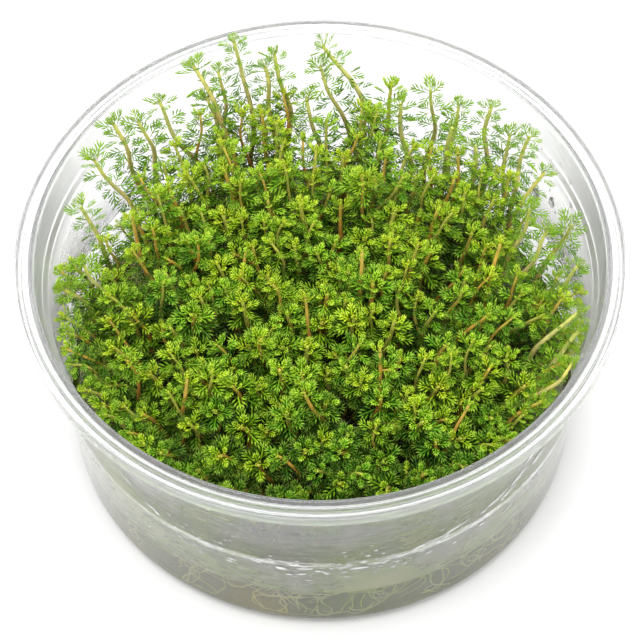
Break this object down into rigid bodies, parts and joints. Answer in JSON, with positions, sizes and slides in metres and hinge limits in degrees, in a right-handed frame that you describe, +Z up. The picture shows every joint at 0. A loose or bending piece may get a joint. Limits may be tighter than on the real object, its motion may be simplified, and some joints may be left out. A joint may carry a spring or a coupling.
{
  "type": "tissue culture myriophyllum mattogrossense cup",
  "caption": "Round clear plastic cup of nutrient gel, packed with rooted plantlets of a feathery green aquarium stem plant.",
  "frame": {"origin": "centre of the cup's flat underside", "axes": "+Z up out of the cup's mouth, -Y towards the viewer, with the tallest loose shoots at +Y"},
  "size_m": [0.101, 0.101, 0.0547],
  "materials": {
    "clear_plastic": "clear, glossy, fogged inside",
    "nutrient_gel": "clear, soft, wet",
    "foliage": "satin, moist"
  },
  "bodies": {
    "root": {"cup": "clear_plastic", "gel": "nutrient_gel", "plantlet_01": "foliage", "plantlet_02": "foliage", "plantlet_03": "foliage", "plantlet_04": "foliage", "plantlet_05": "foliage", "plantlet_06": "foliage", "plantlet_07": "foliage", "plantlet_08": "foliage", "plantlet_09": "foliage", "plantlet_10": "foliage", "plantlet_11": "foliage", "plantlet_12": "foliage", "plantlet_13": "foliage", "plantlet_14": "foliage", "plantlet_15": "foliage", "plantlet_16": "foliage", "plantlet_17": "foliage", "plantlet_18": "foliage", "plantlet_19": "foliage", "plantlet_20": "foliage", "plantlet_21": "foliage", "plantlet_22": "foliage", "plantlet_23": "foliage", "plantlet_24": "foliage", "plantlet_25": "foliage", "plantlet_26": "foliage", "plantlet_27": "foliage", "plantlet_28": "foliage", "plantlet_29": "foliage", "plantlet_30": "foliage", "plantlet_31": "foliage", "plantlet_32": "foliage", "plantlet_33": "foliage", "plantlet_34": "foliage", "plantlet_35": "foliage", "plantlet_36": "foliage", "plantlet_37": "foliage"}
  },
  "joints": []
}
